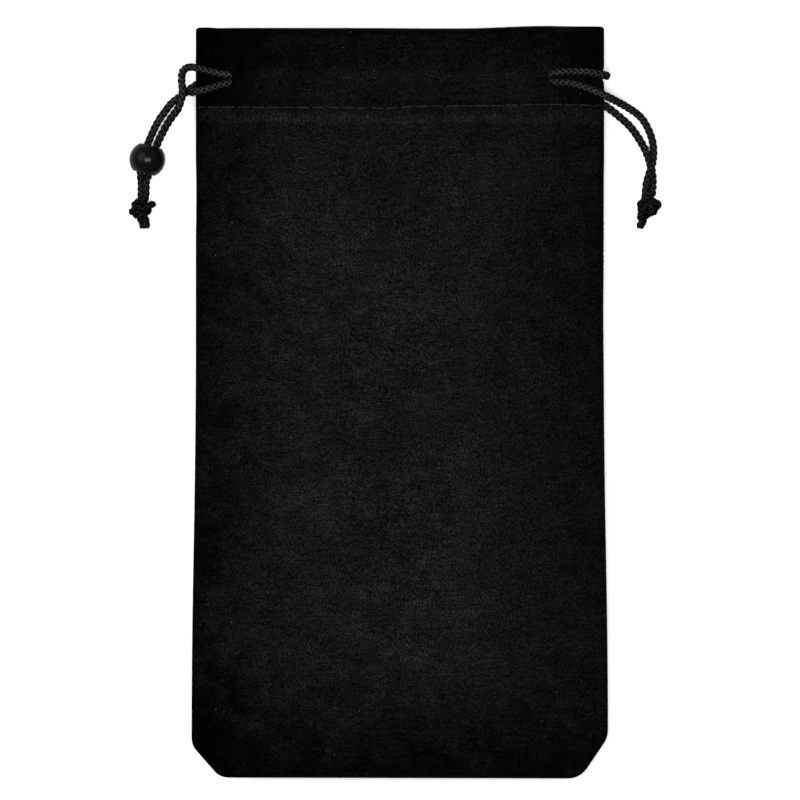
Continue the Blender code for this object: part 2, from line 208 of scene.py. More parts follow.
LEFT_FRONT_END = [
    *[on_arc(INNER + CLOSER - moved, degrees, PAIR_Z + HIGHER) for degrees, moved in NEAR_KNOT.items()],
    *[on_arc(INNER, degrees, PAIR_Z) for degrees in (9, 12, 16)],
    *[on_arc(INNER - share, degrees, PAIR_Z) for degrees, share in APART.items()],
    on_arc(INNER - 0.3, 37.5, 4.7),
    (-52.65, 75.2, 4.95),
    (-52.85, 78.0, 5.3),
    (-52.6, 80.0, 6.4),
    (-51.4, 81.05, 7.9),
    (-49.4, 80.95, 9.4),
    (-47.0, 80.3, 10.2),
    (-43.6, 79.55, 10.5),
]
LEFT_BIGHT = [
    (38.5, 79.8, 10.55),
    (41.5, 80.0, 10.4),
    (45.4, 79.9, 10.05),
    (48.0, 79.5, 9.6),
    (49.7, 79.2, 8.15),
]
LEFT_BIGHT_TIP = [(49.95, 79.1, 6.2)]
LEFT_BACK_END = [
    (-43.2, 79.35, 1.6),
    (-46.0, 78.9, 1.15),
    (-48.8, 77.5, 1.0),
    (-51.2, 75.8, 1.15),
    (-53.15, 74.3, 2.0),
    on_arc(OUTER - 0.2, 37.5, 3.5),
    on_arc(OUTER - 0.15, 34, 4.2),
    *[on_arc(OUTER, degrees, PAIR_Z) for degrees in range(30, 9, -4)],
    *[on_arc(OUTER - CLOSER - NEAR_KNOT[degrees], degrees, PAIR_Z - HIGHER) for degrees in (6, 3)],
]
RIGHT_FRONT_END = [
    (59.6, 52.6, 3.95),
    (60.2, 54.9, 3.75),
    (61.0, 57.3, 3.05),
    (61.45, 60.2, 1.75),
    (61.25, 63.25, 1.05),
    (60.1, 66.5, 1.2),
    (58.4, 69.1, 2.2),
    (55.6, 71.15, 4.2),
    (52.3, 72.9, 6.7),
    (48.9, 74.5, 9.3),
    (44.8, 76.2, 10.0),
    (41.0, 77.2, 10.4),
]
RIGHT_BIGHT = [(-42.8, 76.85, 10.5), (-45.4, 76.15, 10.3), (-48.2, 75.4, 9.7), (-50.1, 75.2, 8.5)]
RIGHT_BIGHT_TIP = [(-50.55, 75.25, 6.2)]
RIGHT_BACK_END = [
    (39.2, 77.0, 1.5),
    (43.0, 75.7, 1.1),
    (46.4, 74.0, 1.0),
    (49.6, 72.1, 1.0),
    (52.9, 69.6, 1.0),
    (56.0, 66.7, 1.0),
    (58.2, 63.55, 1.0),
    (59.85, 60.4, 1.0),
    (60.85, 57.1, 1.0),
    (61.3, 54.0, 1.4),
]


# Each knot's place, and where its front and its back strand come in at the top, leave at the bottom and end.
KNOT_CENTRE = {-1: (-62.3, 47.0, 2.95), 1: (59.8, 47.0, 2.95)}
KNOT_TOPS = {
    -1: [
        on_arc(INNER + CLOSER - 0.35, 0, PAIR_Z + HIGHER),
        on_arc(OUTER - CLOSER - 0.35, 0, PAIR_Z - HIGHER),
    ],
    1: [(59.3, 50.0, 3.9), (60.9, 50.1, 2.3)],
}
KNOT_BOTTOMS = {
    -1: [(-61.5, 43.7, 3.9), (-62.45, 43.7, 1.9)],
    1: [(58.37, 43.5, 3.9), (58.47, 43.5, 1.65)],
}
TAIL_TIPS = {
    -1: [(-61.45, 42.3, 3.8), (-62.45, 42.3, 1.75)],
    1: [(58.1, 42.3, 3.8), (58.2, 42.3, 1.5)],
}


def straight(row, low, z):
    """The run of a cord inside a channel, from just inside the left hole to just inside the right one.

    The run lies low by that much at the left hole, and is back in its row before the middle.
    """
    run = {-40.3: 1, -36: 0.83, -31: 0.66, 27: 0, 31: 0, 35.6: 0}
    return [(x, row - low * share, z) for x, share in run.items()]


def catmull_rom(before, start, end, after, count):
    """Points on the centripetal Catmull-Rom curve from start to end, without start."""
    spans = ((before, start), (start, end), (end, after))
    gaps = [max(1e-6, np.linalg.norm(b - a) ** 0.5) for a, b in spans]
    knots = np.concatenate([[0], np.cumsum(gaps)])
    at = mix(knots[1], knots[2], np.arange(1, count + 1) / count)[:, None]
    level = [np.repeat(p[None], count, axis=0) for p in (before, start, end, after)]
    for pairs in ([(0, 1), (1, 2), (2, 3)], [(0, 2), (1, 3)], [(1, 2)]):
        level = [
            (level[i] * (knots[high] - at) + level[i + 1] * (at - knots[low])) / (knots[high] - knots[low])
            for i, (low, high) in enumerate(pairs)
        ]
    return level[0]


def smooth_route(points_mm, step=0.25):
    """A dense smooth line through the route's points, and the place of each of those points in it."""
    route = [np.array(p, float) for p in points_mm]
    route = [2 * route[0] - route[1], *route, 2 * route[-1] - route[-2]]
    found = [route[1][None]]
    places = [0]
    for before, start, end, after in zip(route, route[1:], route[2:], route[3:]):
        count = max(1, round(np.linalg.norm(end - start) / step))
        found.append(catmull_rom(before, start, end, after, count))
        places.append(places[-1] + count)
    return np.concatenate(found), places


# ---------------------------------------------------------------- the knots, tied in both ends of each cord

# A slack overhand knot, in cord diameters.
OVERHAND = [
    (0, 6, 0),
    (0, 3, 0),
    (0, 1.5, -0.5),
    (0, -0.2, 0.6),
    (0.2, -2, 0),
    (1.8, -3, -0.7),
    (3.6, -2, 0),
    (4, 0, 0),
    (3, 1.8, 0.4),
    (1, 1.9, 0.8),
    (0, 1.5, 0.9),
    (-1.2, 1, 0.2),
    (-1.2, 0, -0.6),
    (0, -0.3, -0.9),
    (1.2, -1, 0),
    (1.9, -2.8, 0.8),
    (2, -5, 0),
    (2, -8, 0),
]

KNOT_CORD = 1.4
KNOT_LENGTH = 21.5
KNOT_HALF_HEIGHT = 2.1
KNOT_FLATTEN = 0.86
KNOT_DROP = 2.9
# How each knot's body has settled: its shift sideways, its lean, its rise, and how far it is widened.
KNOT_SETTLING = {-1: (0.3, 0.3, 0.4, 1.02), 1: (-0.8, 0.7, 0.2, 1.36)}


def slack_overhand(scale, nodes, offset):
    """An open overhand knot, moved sideways by offset, as a line of that many points."""
    line = resampled(OVERHAND, 0.35)
    for _ in range(40):
        line[1:-1] = (line[:-2] + 2 * line[1:-1] + line[2:]) / 4
    line = line * scale
    way = np.gradient(line, axis=0)
    across = unit(np.stack([way[:, 1], -way[:, 0], np.zeros(len(way))], axis=1))
    return evenly(line + offset * across, nodes)


def tie_knot(diameter, length, tops, bottoms, mirror, nodes=66, rounds=900):
    """Pulls a doubled overhand knot tight between its four ends. Millimetres.

    The two strands keep their length and keep clear of themselves and of each other. Each has a top and a
    bottom end. mirror ties it the other way round. The knot stays within KNOT_HALF_HEIGHT of its middle in
    Z, its body goes no further than KNOT_DROP down Y, and all of it is flattened by KNOT_FLATTEN along Y.
    """
    ends = np.array([tops[0], tops[1], bottoms[0], bottoms[1]], float)
    ends[:, 1] /= KNOT_FLATTEN
    if mirror:
        ends[:, 0] *= -1
    swapped = ends[0, 0] < ends[1, 0]
    offsets = (-0.5, 0.5) if swapped else (0.5, -0.5)
    strands = [slack_overhand(2.4, nodes, offset * diameter) for offset in offsets]
    points = np.concatenate(strands)
    slack = np.mean([np.linalg.norm(np.diff(s, axis=0), axis=1).sum() for s in strands])
    pinned = [0, nodes, nodes - 1, 2 * nodes - 1]
    start = points[pinned].copy()
    index = np.arange(2 * nodes)
    body = index % nodes < nodes - 9
    same = (index[:, None] // nodes) == (index[None, :] // nodes)
    apart = np.abs(index[:, None] - index[None, :])
    for turn in range(rounds):
        segment = mix(slack, length, min(1.0, turn / (rounds * 0.6))) / (nodes - 1)
        held = mix(start, ends, min(1.0, 3 * turn / (rounds * 0.6)))
        for first in (0, nodes):
            strand = points[first : first + nodes]
            strand[1:-1] += 0.12 * ((strand[:-2] + strand[2:]) / 2 - strand[1:-1])
        gap = points[:, None, :] - points[None, :, :]
        distance = np.sqrt((gap**2).sum(-1)) + 1e-9
        neighbours = same & (apart <= int(np.ceil(1.3 * diameter / segment)))
        push = np.where(neighbours, 0, np.maximum(0, diameter - distance))
        touching = np.maximum(1, (push > 0).sum(1))[:, None]
        points += 0.65 * (gap * (push / distance)[..., None]).sum(1) / touching
        if turn > rounds * 0.3:
            points[:, 2] = np.clip(points[:, 2], -KNOT_HALF_HEIGHT, KNOT_HALF_HEIGHT)
            points[body, 1] = np.maximum(points[body, 1], -KNOT_DROP)
        for _ in range(6):
            for first in (0, nodes, 1, nodes + 1):
                last = nodes - 1 if first < nodes else 2 * nodes - 1
                a = np.arange(first, last, 2)
                way = points[a + 1] - points[a]
                size = np.linalg.norm(way, axis=1, keepdims=True) + 1e-9
                change = way / size * (size - segment) * 0.5
                points[a] += change
                points[a + 1] -= change
            points[pinned] = held
    if mirror:
        points[:, 0] *= -1
    points[:, 1] *= KNOT_FLATTEN
    return points[:nodes], points[nodes:]


def settled(knot, shift, lean, rise, widen):
    """The knot's body widened, moved and leant sideways between its ends, which stay where they are."""
    at = np.arange(len(knot))
    inside = smooth((np.minimum(at, len(knot) - 1 - at) - 2) / 9)
    moved = knot.copy()
    moved[:, 0] += inside * (shift + lean * knot[:, 1] + (widen - 1) * knot[:, 0])
    moved[:, 1] += inside * rise
    return moved


# ---------------------------------------------------------------- braided cord

# The strands bulge past the nominal radius where they cross on top, and sink below it between.
LAY = 5.6 * MM
STRAND_HALF_WIDTH = 0.345 * MM
STRAND_HALF_THICKNESS = 0.25 * MM
STRAND_CROSSING = 0.15 * MM
STRAND_CIRCLE = 0.63 * MM
CORE_RADIUS = 0.50 * MM
KNOT_SQUEEZE = 0.86
# The core's strand coordinate holds this one value, where a strand's runs from 0 to 1 round the strand. The
# braid's material paints it darkest there, as painted shade between the strands.
CORE_MARK = -1.0


def carried_frames(line):
    """Unit tangents and two normals at each point, turned as little as possible along the line."""
    tangents = unit(np.gradient(line, axis=0))
    normals = np.zeros_like(line)
    first = np.array([0.0, 0.0, 1.0])
    normals[0] = unit(first - tangents[0] * (first @ tangents[0]))
    for i in range(1, len(line)):
        carried = normals[i - 1] - tangents[i] * (normals[i - 1] @ tangents[i])
        normals[i] = carried / np.linalg.norm(carried)
    return tangents, normals, np.cross(tangents, normals)


def tube_part(rings, sides):
    """Points and faces of a tube from its rings, closed at both ends."""
    count = len(rings)
    faces = []
    for i in range(count - 1):
        for k in range(sides):
            a = i * sides + k
            b = i * sides + (k + 1) % sides
            faces.append((a, b, b + sides, a + sides))
    faces.append(tuple(reversed(range(sides))))
    faces.append(tuple(range((count - 1) * sides, count * sides)))
    return rings.reshape(-1, 3), faces


def joined_mesh(name, parts):
    """One mesh of several parts, each with points, faces and strand coordinates."""
    points, faces, uvs, start = [], [], [], 0
    for part_points, part_faces, part_uv in parts:
        points.append(part_points)
        uvs.append(part_uv)
        faces.extend([tuple(start + v for v in face) for face in part_faces])
        start += len(part_points)
    return mesh_of(name, np.concatenate(points), faces, np.concatenate(uvs))


def strand_coordinates(lengthways, across):
    """Strand coordinates of a tube's points, from one value per ring and one per side."""
    both = np.broadcast_arrays(np.asarray(lengthways)[:, None], np.asarray(across)[None])
    return np.stack(both, -1).reshape(-1, 2)


class Cord:
    """A cord's line from tail tip to tail tip, with what its braid needs at each point."""

    def __init__(self, line, scale):
        self.line = line
        self.scale = scale
        self.tangents, self.normals, self.binormals = carried_frames(line)
        self.along = distances(line)

    def braid_parts(self, first, last, sides=8):
        """Eight strands, four each way. Each lies over the others along two stretches of every turn."""
        span = slice(first, last + 1)
        normals, binormals = self.normals[span], self.binormals[span]
        along = self.along[span]
        scale = self.scale[span, None]
        circle = np.linspace(0, 2 * math.pi, sides, endpoint=False)
        parts = []
        for k in range(8):
            way = 1 if k < 4 else -1
            turn = way * 2 * math.pi * along / LAY + (k % 4) * math.pi / 2 + (0 if way > 0 else math.pi / 4)
            lift = way * STRAND_CROSSING * np.cos(2 * turn)
            radial = normals * np.cos(turn)[:, None] + binormals * np.sin(turn)[:, None]
            centre = self.line[span] + radial * (STRAND_CIRCLE + lift)[:, None] * scale
            tangent = unit(np.gradient(centre, axis=0))
            side = unit(np.cross(tangent, radial))
            up = np.cross(side, tangent)
            wide = side[:, None, :] * (np.cos(circle) * STRAND_HALF_WIDTH)[None, :, None]
            thick = up[:, None, :] * (np.sin(circle) * STRAND_HALF_THICKNESS)[None, :, None]
            rings = centre[:, None, :] + (wide + thick) * scale[:, :, None]
            points, faces = tube_part(rings, sides)
            uv = strand_coordinates(along / MM + 3.7 * k, np.arange(sides) / sides)
            parts.append((points, faces, uv))
        return parts

    def core_part(self, first, last, sides=8):
        """The filling under the strands, painted darkest as the shade between them. It closes the cut ends,
        where they were melted.
        """
        span = slice(first, last + 1)
        along = self.along[span]
        from_end = np.minimum(along, self.along[-1] - along)
        radius = CORE_RADIUS + (0.34 * MM) * (1 - smooth((from_end - 0.15 * MM) / (0.35 * MM)))
        radius = radius * np.sqrt(np.clip(from_end / (0.3 * MM), 0.05, 1)) * self.scale[span]
        circle = np.linspace(0, 2 * math.pi, sides, endpoint=False)
        rings = (
            self.line[span][:, None, :]
            + self.normals[span][:, None, :] * (np.cos(circle)[None, :] * radius[:, None])[:, :, None]
            + self.binormals[span][:, None, :] * (np.sin(circle)[None, :] * radius[:, None])[:, :, None]
        )
        points, faces = tube_part(rings, sides)
        return points, faces, strand_coordinates(along / MM, CORE_MARK + 0 * circle)

    def parts(self, first, last):
        return [*self.braid_parts(first, last), self.core_part(first, last)]


def cord_line(front_knot, front_tail, front_end, held, back_end, back_knot, back_tail):
    """The whole line in metres, and the place in it of each piece's ends, in order."""
    pieces = [front_tail, front_knot, front_end, held, back_end, back_knot, back_tail]
    points = [tuple(p) for piece in pieces for p in piece]
    starts = np.cumsum([0] + [len(piece) for piece in pieces])
    line, places = smooth_route(points)
    for _ in range(6):
        for start in (starts[1], starts[2], starts[5], starts[6]):
            near = slice(max(1, places[start] - 8), min(len(line) - 1, places[start] + 8))
            before = slice(near.start - 1, near.stop - 1)
            after = slice(near.start + 1, near.stop + 1)
            line[near] = (line[before] + 2 * line[near] + line[after]) / 4
    return line * MM, [places[min(s, len(points) - 1)] for s in starts]


def squeezed(line, marks):
    """1 along a free cord, less inside its knots, where it is pulled tight, and at its cut ends."""
    at = np.arange(len(line))
    scale = np.ones(len(line))
    for first, last in ((marks[1], marks[2]), (marks[5], marks[6])):
        inside = smooth((at - first + 2) / 6) * smooth((last + 2 - at) / 6)
        scale = scale - (1 - KNOT_SQUEEZE) * inside
    from_end = np.minimum(at, len(line) - 1 - at)
    return scale * (1 - 0.18 * (1 - smooth(from_end / 3)))


def left_route():
    """The left cord's front end, held run and back end."""
    front = straight(LEFT_ROW_MM, LEFT_ROW_DROP, FRONT_CORD_Z)
    back = straight(LEFT_ROW_MM, LEFT_ROW_DROP, BACK_CORD_Z)[::-1]
    held = [*front, *LEFT_BIGHT, *LEFT_BIGHT_TIP, *mirrored_z(LEFT_BIGHT[::-1]), *back]
    return LEFT_FRONT_END, held, LEFT_BACK_END


def right_route():
    """The same for the right cord, which runs the other way."""
    front = straight(RIGHT_ROW_MM, RIGHT_ROW_DROP, FRONT_CORD_Z)[::-1]
    back = straight(RIGHT_ROW_MM, RIGHT_ROW_DROP, BACK_CORD_Z)
    held = [*front, *RIGHT_BIGHT, *RIGHT_BIGHT_TIP, *mirrored_z(RIGHT_BIGHT[::-1]), *back]
    return RIGHT_FRONT_END, held, RIGHT_BACK_END


def placed_knot(side):
    """The front and the back strand of one knot, in its place."""
    centre = np.array(KNOT_CENTRE[side])
    tops = [np.array(p) - centre for p in KNOT_TOPS[side]]
    bottoms = [np.array(p) - centre for p in KNOT_BOTTOMS[side]]
    strands = tie_knot(KNOT_CORD, KNOT_LENGTH, tops, bottoms, mirror=side < 0)
    return [settled(strand, *KNOT_SETTLING[side]) + centre for strand in strands]


def make_cord(side, material):
    """One drawcord's pieces: the held run, two free ends, the knot and two tails."""
    name = SIDES[side]
    front_end, held, back_end = (left_route if side < 0 else right_route)()
    front_knot, back_knot = placed_knot(side)
    front_tip, back_tip = TAIL_TIPS[side]
    line, marks = cord_line(front_knot[::-1], [front_tip], front_end, held, back_end, back_knot, [back_tip])
    whole = Cord(line, squeezed(line, marks))
    spans = {
        f"{name}_cord_front_tail": (marks[0], marks[1]),
        f"{name}_cord_front_end": (marks[2], marks[3]),
        f"{name}_cord_held_run": (marks[3], marks[4] - 1),
        f"{name}_cord_back_end": (marks[4] - 1, marks[5]),
        f"{name}_cord_back_tail": (marks[6] - 1, marks[7]),
    }
    body = f"{name}_cord"
    for piece, (first, last) in spans.items():
        mesh = joined_mesh(piece, whole.parts(first, last))
        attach(new_object(piece, mesh, material), body)
    knot_parts = [*whole.parts(marks[1], marks[2]), *whole.parts(marks[5], marks[6])]
    knot_name = f"{name}_cord_knot"
    knot = new_object(knot_name, joined_mesh(knot_name, knot_parts), material)
    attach(knot, body)
    for piece in (f"{name}_cord_held_run", f"{name}_cord_front_end", f"{name}_cord_back_end"):
        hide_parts(f"{name}_drawcord")
    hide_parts(f"{name}_knot")
    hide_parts(f"{name}_front_tail")
    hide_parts(f"{name}_back_tail")


# ---------------------------------------------------------------- the shape of the cloth


def corner_cut(side):
    """One foot corner as heights above the foot and, at each, the inset from the side edge."""
    up, across, side_round, foot_round = CORNER_CUTS[side]
    slant = np.array([across, -up]) / math.hypot(across, up)
    side_end = np.array([0, up])
    foot_end = np.array([across, 0])
    bends = [
        (side_end + [0, side_round], side_end, side_end + slant * side_round),
        (foot_end - slant * foot_round, foot_end, foot_end + [foot_round, 0]),
    ]
    share = np.linspace(0, 1, 24)[:, None]
    points = [(1 - share) ** 2 * a + 2 * share * (1 - share) * b + share**2 * c for a, b, c in bends]
    insets, heights = np.concatenate(points)[::-1].T
    return heights, insets


CORNER_LINES = {side: corner_cut(side) for side in SIDES}


def half_width(side, y):
    """The outline: the pouch widens a little towards its foot, and its foot corners are cut off."""
    width = mix(TOP_HALF, FOOT_HALF, smooth((15 * MM - y) / (95 * MM)))
    width = width + 0.1 * MM * smooth((y - 52 * MM) / (8 * MM))
    width = width + 0.12 * MM * smooth((-20 * MM - y) / (40 * MM))
    if side > 0:
        width = width - 0.1 * MM * bell(y - 22 * MM, 9 * MM)
        width = width - 0.7 * MM * bell(TOP - y - 11.3 * MM, 1.25 * MM)
    else:
        width = width + 0.1 * MM * smooth((48 * MM - y) / (10 * MM))
    return width - np.interp(y - FOOT, *CORNER_LINES[side])


def edge_distance(side, x, y):
    """How far inside the outline a point lies."""
    step = 0.05 * MM
    slope = (half_width(side, y + step) - half_width(side, y - step)) / (2 * step)
    return np.minimum((half_width(side, y) - x) / np.sqrt(1 + slope**2), y - FOOT)


def rolled(distance):
    """1 away from the edge, and down to 0 at it by a quarter ellipse, where the cloth turns to the seam."""
    inner = np.clip(1 - distance / EDGE_ROLL, 0, 1)
    return np.sqrt(1 - inner**2)


def shoulder(side, x):
    start = abs(HOLE_X[side]) - SHOULDER_INSET
    return 1 - smooth((x - start) / SHOULDER_RUN)


def edge_half(depth):
    return 0.85 * MM + 0.9 * MM * (1 - smooth((depth - BAND_DEPTH) / (8 * MM)))


def crown(face, depth):
    pinch = 0.5 * MM * bell(depth - STITCH_DEPTH, 1.4 * MM)
    belly = FRONT_CROWN - MIDDLE if face > 0 else 0.0
    return MIDDLE - pinch + belly * smooth((depth - 26 * MM) / (45 * MM))


def foot_fall(face, y):
    if face > 0:
        share = np.clip((-30 * MM - y) / (-30 * MM - FOOT), 0, 1)
        return (1 - share**3) ** 0.85
    return 1 - smooth((-66 * MM - y) / (-66 * MM - FOOT))


def side_fall(face, share):
    if face > 0:
        return np.maximum(0, 1 - share**3) ** 1.2
    return 1 - smooth((share - 0.66) / 0.34)


def ripple(face, side, x, y):
    """Slack in the cloth: shallow waves across the hem, which fade down the pouch, and long soft dents."""
    depth = TOP - y
    signed = side * x
    waves = np.sin(signed / MM * 0.861 + 0.8) + 0.7 * np.sin(signed / MM * 1.232 + depth / (9 * MM) + 2.1)
    waves = (waves + 0.5 * np.sin(signed / MM * 0.537 + 4.0)) / 2.2
    inside = smooth(x / (8 * MM)) * (1 - smooth((x - half_width(side, y) + 7 * MM) / (5 * MM)))
    strength = 0.22 * MM * (1 - 0.85 * smooth((depth - 12 * MM) / (45 * MM)))
    dents = np.sin(signed / (5.1 * MM) * 0.9 - y / (11 * MM))
    dents = dents * np.sin(y / (7.3 * MM) + signed / (19 * MM) + 1.0)
    dents = dents + 0.8 * np.sin(signed / (9.7 * MM) + y / (6.1 * MM) + 2.0)
    away = smooth((depth - 24 * MM) / (15 * MM)) * smooth((edge_distance(side, x, y) - 2 * MM) / (9 * MM))
    if face > 0:
        return strength * waves * inside + 0.07 * MM * dents * away
    return -strength * (1 + waves) / 2 * inside


def cloth_height(face, side, x, y):
    """Height of the outer side above (front) or below (back) the middle plane, without its relief."""
    depth = TOP - y
    share = np.minimum(1, x / half_width(side, y))
    across = mix(shoulder(side, x), side_fall(face, share), smooth((depth - 21 * MM) / (24 * MM)))
    edge = edge_half(depth)
    return edge + (crown(face, depth) - edge) * across * foot_fall(face, y) + ripple(face, side, x, y)


def stitch_depth(side, x):
    """The line of stitching rises a little from left to right, and sags left of the middle."""
    sag = STITCH_SAG * bell(side * x - STITCH_SAG_X, 19 * MM)
    return STITCH_DEPTH - STITCH_LIFT - STITCH_SLOPE * side * x + sag


def relief(face, side, x, y):
    """The outer side's relief: the two cords in the channel, the stitched groove and the turned-in band."""
    depth = TOP - y
    cords = bell(depth - 10.9 * MM, 1.25 * MM) + bell(depth - 13.05 * MM, 1.25 * MM)
    over_cords = 0.2 * MM * cords * (1 - smooth((x - abs(HOLE_X[side]) + 2 * MM) / (2 * MM)))
    stitch = np.cos(2 * math.pi * x / NEEDLE_PITCH)
    groove = (0.09 * MM + 0.01 * MM * stitch) * bell(depth - stitch_depth(side, x), 0.32 * MM)
    band = 0.12 * MM * smooth((depth - stitch_depth(side, x) - 0.3 * MM) / (0.5 * MM))
    band = band * (1 - smooth((depth - BAND_DEPTH + 0.35 * MM) / (0.6 * MM)))
    return (over_cords if face > 0 else 0.0) - groove + band


def hem_stack(side, x, depth):
    """From the outer side of the cloth to the mouth side of the turned-in layer."""
    pocket = 1 - smooth((depth - 15.5 * MM) / (STITCH_DEPTH - 15.5 * MM))
    return 2 * CLOTH + LAYER_GAP + CHANNEL_DEPTH * pocket * shoulder(side, x)


def outer_surface(face, side, x, y):
    height = cloth_height(face, side, x, y) + relief(face, side, x, y)
    return SEAM_GAP + height * rolled(edge_distance(side, x, y))


def facing_surface(face, side, x, y):
    return cloth_height(face, side, x, y) - hem_stack(side, x, TOP - y)


def outer_rows():
    """Heights from the foot up to where the top fold starts: close together at the foot and in the hem."""
    low = [0, 0.05, 0.15, 0.3, 0.5, 0.75, 1.0, 1.35, 1.8, 2.4, 3.0, 3.7, 4.4, 5.2, 6.0, 6.9, 7.8, 8.7]
    foot = np.array(low) * MM
    body = np.linspace(CORNER, TOP - FOOT - 26 * MM, 156)
    hem = np.linspace(TOP - FOOT - 26 * MM, TOP - FOOT - 2.1 * MM, 56)[1:]
    return FOOT + np.concatenate([foot, body, hem])


def outer_columns():
    """Shares of the half width from the centre line to the seam, the rolled edge's own columns last."""
    roll = EDGE_ROLL / TOP_HALF
    turns = np.linspace(0, math.pi / 2, 8)
    flat = np.linspace(0, 1 - roll, 62)
    return np.concatenate([flat, 1 - roll * (1 - np.sin(turns[1:]))])


def top_rise(x):
    """The mouth's edge isn't quite straight: it rises to the right, and a little at the left corner."""
    right = 0.5 * MM * smooth((x - 16 * MM) / (20 * MM))
    left = 0.25 * MM * smooth((-x - 43 * MM) / (4 * MM))
    return right + left - 0.12 * MM * bell(x - 10 * MM, 14 * MM)


def foot_drop(x):
    """The foot is a little lower than the nominal outline, most on the right."""
    return 0.3 * MM + 0.12 * MM * x / FOOT_HALF


def cloth_grid(face, side):
    """Points of one half panel's outer side, from the foot seam up, over the fold and down the inside."""
    columns = outer_columns()
    inside = (half_width(side, TOP) - 1.7 * MM) / half_width(side, TOP)
    rows = []
    for y in outer_rows():
        x = columns * half_width(side, y)
        rows.append(np.stack([x, np.full_like(x, y), outer_surface(face, side, x, y)], axis=1))
    x_out = columns * half_width(side, TOP)
    x_in = x_out * inside
    radius = hem_stack(side, x_in, 0) / 2
    start = TOP - radius
    high = np.stack([x_out, start, outer_surface(face, side, x_out, start)], axis=1)
    low = np.stack([x_in, start, facing_surface(face, side, x_in, start)], axis=1)
    for turn in np.linspace(0, math.pi, 13):
        bow = np.stack([0 * radius, radius * math.sin(turn), 0 * radius], axis=1)
        rows.append((high + low) / 2 + (high - low) / 2 * math.cos(turn) + bow)
    for depth in np.linspace(2.6 * MM, BAND_DEPTH, 24):
        y = np.full_like(x_in, TOP - depth)
        rows.append(np.stack([x_in, y, facing_surface(face, side, x_in, y)], axis=1))
    grid = np.array(rows)
    grid[..., 1] += top_rise(side * grid[..., 0]) * smooth((grid[..., 1] - TOP + 10 * MM) / (9 * MM))
    grid[..., 1] -= foot_drop(side * grid[..., 0]) * smooth((FOOT + 12 * MM - grid[..., 1]) / (12 * MM))
    grid[..., 0] *= side
    grid[..., 2] = MIDDLE + face * grid[..., 2]
    return grid


def grid_mesh(name, grid, turned):
    rows, columns = grid.shape[:2]
    faces = []
    for j in range(rows - 1):
        for i in range(columns - 1):
            a = j * columns + i
            face = (a, a + 1, a + 1 + columns, a + columns)
            faces.append(face[::-1] if turned else face)
    return mesh_of(name, grid.reshape(-1, 3), faces)


def hole_cutter(face, side):
    """A tilted block with rounded corners, which cuts the outer layer only."""
    tilt = math.radians(27)
    height = 5 * MM
    long = 4.1 * MM
    wide = (4.6 if side < 0 else 4.3) * MM
    bm = bmesh.new()
    bmesh.ops.create_cube(bm, size=1)
    bmesh.ops.scale(bm, vec=(long / math.cos(tilt), wide, height), verts=bm.verts)
    upright = [e for e in bm.edges if abs(e.verts[0].co.z - e.verts[1].co.z) > height / 2]
    bmesh.ops.bevel(bm, geom=upright, offset=1.7 * MM, segments=6, affect="EDGES", profile=0.5)
    bmesh.ops.triangulate(bm, faces=bm.faces)
    mesh = bpy.data.meshes.new("hole_cutter")
    bm.to_mesh(mesh)
    bm.free()
    cutter = new_object("hole_cutter", mesh)
    lift = height / 2
    cutter.location = (
        HOLE_X[side] + side * (long / 2 - 0.6 * MM + math.sin(tilt) * lift),
        (LEFT_ROW + RIGHT_ROW) / 2 - (0.12 * MM if side < 0 else 0),
        MIDDLE + face * (3.1 * MM + math.cos(tilt) * lift),
    )
    cutter.rotation_euler = (0, face * side * tilt, 0)
    return cutter


def gather(obj):
    """Bakes the object's place in the scene into its mesh."""
    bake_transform(obj)


def make_half_panel(face, side, material):
    name = f"{FACES[face]}_cloth_{SIDES[side]}"
    panel = new_object(name, grid_mesh(name, cloth_grid(face, side), face * side < 0))
    thickness = panel.modifiers.new("cloth", "SOLIDIFY")
    thickness.thickness = CLOTH
    thickness.offset = -1
    cutter = hole_cutter(face, side)
    cut = panel.modifiers.new("hole", "BOOLEAN")
    cut.operation = "DIFFERENCE"
    cut.solver = "EXACT"
    cut.object = cutter
    mesh = apply_modifiers(panel)
    bpy.data.objects.remove(cutter)
    mesh.shade_smooth()
    mesh.set_sharp_from_angle(angle=math.radians(52))
    mesh.materials.clear()
    mesh.materials.append(material)
    gather(panel)
    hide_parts(f"{FACES[face]}_panel")
    return panel


# ---------------------------------------------------------------- sewing threads

PLY_RADIUS = 0.10 * MM
PLY_CIRCLE = 0.085 * MM
PLY_LAY = 0.8 * MM


def plied(line, sides=6):
    """Parts of a two-ply thread along a line."""
    tangents, normals, binormals = carried_frames(line)
    along = distances(line)
    circle = np.linspace(0, 2 * math.pi, sides, endpoint=False)
    parts = []
    for ply in (0, 1):
        turn = 2 * math.pi * along / PLY_LAY + ply * math.pi
        radial = normals * np.cos(turn)[:, None] + binormals * np.sin(turn)[:, None]
        centre = line + radial * PLY_CIRCLE
        rings = (
            centre[:, None, :]
            + normals[:, None, :] * (np.cos(circle) * PLY_RADIUS)[None, :, None]
            + binormals[:, None, :] * (np.sin(circle) * PLY_RADIUS)[None, :, None]
        )
        points, faces = tube_part(rings, sides)
        parts.append((points, faces, strand_coordinates(along / MM, np.arange(sides) / sides)))
    return parts


